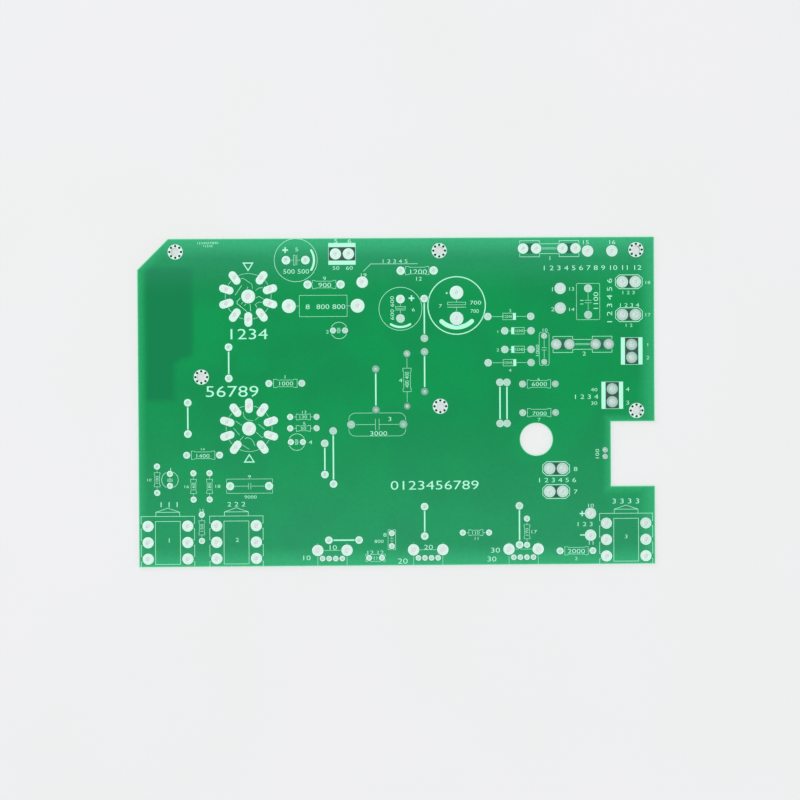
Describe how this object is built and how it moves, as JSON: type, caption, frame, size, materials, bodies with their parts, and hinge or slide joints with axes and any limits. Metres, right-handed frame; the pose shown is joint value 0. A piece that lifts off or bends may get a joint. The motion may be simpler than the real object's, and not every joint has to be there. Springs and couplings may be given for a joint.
{
  "type": "bare circuit board",
  "caption": "Bare circuit board with a cut corner, a notch and a round hole, plated pads, green solder mask and a white printed legend.",
  "frame": {"origin": "middle of the board's outline at the underside", "axes": "+X along the long edge, +Y towards the edge with the cut corner, +Z out of the printed side"},
  "size_m": [0.2, 0.127, 0.0017],
  "materials": {
    "glass_epoxy": "matte",
    "solder_mask": "satin",
    "copper": "satin",
    "tin": "satin",
    "legend_ink": "matte"
  },
  "bodies": {
    "root": {"laminate": "glass_epoxy", "solder_mask_top": "solder_mask", "solder_mask_bottom": "solder_mask", "copper_area_top": "copper", "copper_pour_bottom": "copper", "copper_tracks_bottom": "copper", "mounting_pads": "tin", "upper_socket_pads": "tin", "lower_socket_pads": "tin", "left_jack_pads": "tin", "middle_jack_pads": "tin", "right_jack_pads": "tin", "left_control_pads": "tin", "middle_control_pads": "tin", "right_control_pads": "tin", "terminal_pads": "tin", "spade_pads": "tin", "wire_pads": "tin", "fuse_clip_pads": "tin", "link_pads": "tin", "header_pads": "tin", "resistor_pads": "tin", "small_resistor_pads": "tin", "cement_resistor_pads": "tin", "can_capacitor_pads": "tin", "bead_capacitor_pads": "tin", "film_capacitor_pads": "tin", "diode_pads": "tin", "socket_legend": "legend_ink", "jack_legend": "legend_ink", "control_legend": "legend_ink", "terminal_legend": "legend_ink", "spade_legend": "legend_ink", "fuse_legend": "legend_ink", "link_legend": "legend_ink", "resistor_legend": "legend_ink", "small_resistor_legend": "legend_ink", "cement_resistor_legend": "legend_ink", "can_capacitor_legend": "legend_ink", "bead_capacitor_legend": "legend_ink", "film_capacitor_legend": "legend_ink", "diode_legend": "legend_ink", "wire_legend": "legend_ink"}
  },
  "joints": []
}
